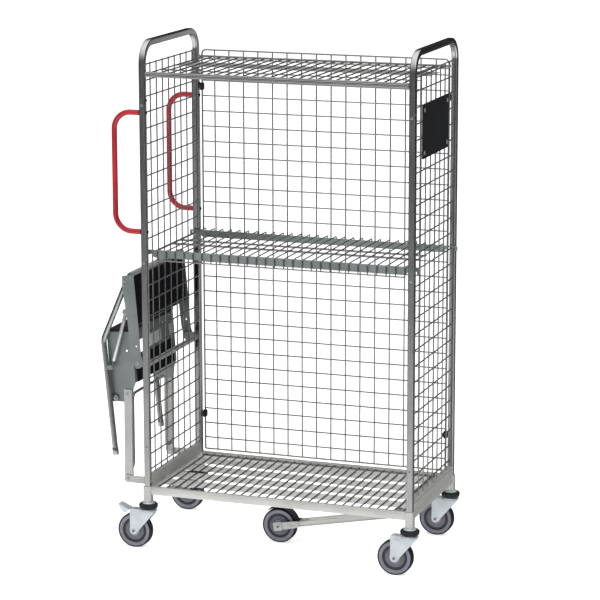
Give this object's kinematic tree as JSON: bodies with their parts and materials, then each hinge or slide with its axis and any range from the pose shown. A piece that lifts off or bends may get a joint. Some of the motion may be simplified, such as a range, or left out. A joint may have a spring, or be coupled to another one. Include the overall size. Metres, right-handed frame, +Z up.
{
  "type": "roll cage container",
  "caption": "Tall mesh roll cage on swivel castors with shelves, pull handles, a sprung centre wheel and a two-step ladder folded against one end.",
  "frame": {"origin": "on the floor, under the middle of the whole outline", "axes": "+X along the trolley away from the ladder, -Y towards the open front, +Z up"},
  "size_m": [1.1845, 0.558, 1.796],
  "materials": {
    "zinc": "satin",
    "chrome": "polished",
    "bright_zinc": "satin",
    "steel_sheet": "satin",
    "red_coat": "gloss",
    "black_sheet": "matte",
    "anti_slip": "textured",
    "black_rubber": "matte",
    "tyre": "matte",
    "grey_plastic": "matte"
  },
  "bodies": {
    "cage": {"end_hoop_left": "chrome", "end_hoop_right": "chrome", "side_rail_left": "zinc", "side_rail_right": "zinc", "side_mesh_left": "zinc", "side_mesh_right": "zinc", "back_mesh": "zinc", "base_frame": "zinc", "base_deck": "zinc", "top_shelf_deck": "zinc", "top_shelf_front_rail": "chrome", "mid_shelf_deck": "zinc", "mid_shelf_front_strip": "zinc", "mid_shelf_back_strip": "zinc", "pull_handle_front": "red_coat", "pull_handle_back": "red_coat", "label_plate": "black_sheet", "castor_front_left_head": "black_rubber", "castor_front_right_head": "black_rubber", "castor_back_left_head": "black_rubber", "castor_back_right_head": "black_rubber", "centre_wheel_hanger": "zinc", "ladder_cross_rail": "zinc", "ladder_bracket_front": "zinc", "ladder_bracket_back": "zinc"},
    "centre_arm": {"centre_wheel_arm": "zinc", "centre_wheel_axle": "bright_zinc", "centre_wheel_guard": "black_sheet"},
    "centre_wheel": {"centre_wheel_hub": "grey_plastic", "centre_wheel_tyre": "tyre"},
    "upper_step": {"upper_step_frame": "steel_sheet", "upper_tread": "anti_slip"},
    "lower_step": {"lower_step_frame": "steel_sheet", "lower_tread": "anti_slip", "lower_step_nosing": "anti_slip"},
    "ladder_legs": {"ladder_leg_front": "zinc", "ladder_leg_back": "zinc", "ladder_foot_front": "zinc", "ladder_foot_back": "zinc"},
    "gas_spring_barrel": {"gas_spring_cylinder": "chrome"},
    "gas_spring_ram": {"gas_spring_rod": "bright_zinc"},
    "castor_front_left_swivel": {"castor_front_left_fork": "bright_zinc", "castor_front_left_axle": "bright_zinc"},
    "castor_front_left_wheel": {"castor_front_left_hub": "grey_plastic", "castor_front_left_tyre": "tyre"},
    "castor_front_left_pedal": {"castor_front_left_brake_pedal": "bright_zinc"},
    "castor_front_right_swivel": {"castor_front_right_fork": "bright_zinc", "castor_front_right_axle": "bright_zinc"},
    "castor_front_right_wheel": {"castor_front_right_hub": "grey_plastic", "castor_front_right_tyre": "tyre"},
    "castor_back_left_swivel": {"castor_back_left_fork": "bright_zinc", "castor_back_left_axle": "bright_zinc"},
    "castor_back_left_wheel": {"castor_back_left_hub": "grey_plastic", "castor_back_left_tyre": "tyre"},
    "castor_back_left_pedal": {"castor_back_left_brake_pedal": "bright_zinc"},
    "castor_back_right_swivel": {"castor_back_right_fork": "bright_zinc", "castor_back_right_axle": "bright_zinc"},
    "castor_back_right_wheel": {"castor_back_right_hub": "grey_plastic", "castor_back_right_tyre": "tyre"}
  },
  "joints": [
    {"name": "castor_front_left_swivel", "type": "hinge", "parent": "cage", "child": "castor_front_left_swivel", "pos_m": [-0.4057, -0.245, 0.14], "axis": [0, 0, 1], "continuous": true},
    {"name": "castor_front_left_spin", "type": "hinge", "parent": "castor_front_left_swivel", "child": "castor_front_left_wheel", "pos_m": [-0.4557, -0.245, 0.0625], "axis": [0, 1, 0], "continuous": true},
    {"name": "castor_front_left_brake", "type": "hinge", "parent": "castor_front_left_swivel", "child": "castor_front_left_pedal", "pos_m": [-0.4757, -0.245, 0.1365], "axis": [0, 1, 0], "range_deg": [-12, 0]},
    {"name": "castor_front_right_swivel", "type": "hinge", "parent": "cage", "child": "castor_front_right_swivel", "pos_m": [0.5583, -0.245, 0.14], "axis": [0, 0, 1], "continuous": true},
    {"name": "castor_front_right_spin", "type": "hinge", "parent": "castor_front_right_swivel", "child": "castor_front_right_wheel", "pos_m": [0.5083, -0.245, 0.0625], "axis": [0, 1, 0], "continuous": true},
    {"name": "castor_back_left_swivel", "type": "hinge", "parent": "cage", "child": "castor_back_left_swivel", "pos_m": [-0.4057, 0.245, 0.14], "axis": [0, 0, 1], "continuous": true},
    {"name": "castor_back_left_spin", "type": "hinge", "parent": "castor_back_left_swivel", "child": "castor_back_left_wheel", "pos_m": [-0.4557, 0.245, 0.0625], "axis": [0, 1, 0], "continuous": true},
    {"name": "castor_back_left_brake", "type": "hinge", "parent": "castor_back_left_swivel", "child": "castor_back_left_pedal", "pos_m": [-0.4757, 0.245, 0.1365], "axis": [0, 1, 0], "range_deg": [-12, 0]},
    {"name": "castor_back_right_swivel", "type": "hinge", "parent": "cage", "child": "castor_back_right_swivel", "pos_m": [0.5583, 0.245, 0.14], "axis": [0, 0, 1], "continuous": true},
    {"name": "castor_back_right_spin", "type": "hinge", "parent": "castor_back_right_swivel", "child": "castor_back_right_wheel", "pos_m": [0.5083, 0.245, 0.0625], "axis": [0, 1, 0], "continuous": true},
    {"name": "centre_arm_spring", "type": "hinge", "parent": "cage", "child": "centre_arm", "pos_m": [0.4963, -0.025, 0.157], "axis": [0, 1, 0], "range_deg": [-3, 5], "stiffness_Nm_per_rad": 600},
    {"name": "centre_wheel_spin", "type": "hinge", "parent": "centre_arm", "child": "centre_wheel", "pos_m": [0.0083, -0.025, 0.0625], "axis": [0, 1, 0], "continuous": true},
    {"name": "upper_step_fold", "type": "hinge", "parent": "cage", "child": "upper_step", "pos_m": [-0.4447, 0, 0.664], "axis": [0, -1, 0], "range_deg": [0, 86]},
    {"name": "lower_step_fold", "type": "hinge", "parent": "cage", "child": "lower_step", "pos_m": [-0.5017, 0, 0.232], "axis": [0, -1, 0], "range_deg": [0, 86]},
    {"name": "legs_swing", "type": "hinge", "parent": "upper_step", "child": "ladder_legs", "pos_m": [-0.4897, 0, 0.954], "axis": [0, -1, 0], "range_deg": [-86, 0]},
    {"name": "gas_spring_swing", "type": "hinge", "parent": "upper_step", "child": "gas_spring_barrel", "pos_m": [-0.4947, -0.208, 0.845], "axis": [0, -1, 0], "range_deg": [-99.73, 0]},
    {"name": "gas_spring_slide", "type": "slide", "parent": "gas_spring_barrel", "child": "gas_spring_ram", "axis": [-0.2717, 0, -0.9624], "range_m": [0, 0.13373]}
  ],
  "couplings": [
    {"joint": "lower_step_fold", "follows": "upper_step_fold", "ratio": 1},
    {"joint": "legs_swing", "follows": "upper_step_fold", "ratio": -1},
    {"joint": "gas_spring_swing", "follows": "upper_step_fold", "ratio": -1.159},
    {"joint": "gas_spring_slide", "follows": "upper_step_fold", "m_per_rad": 0.088964}
  ]
}
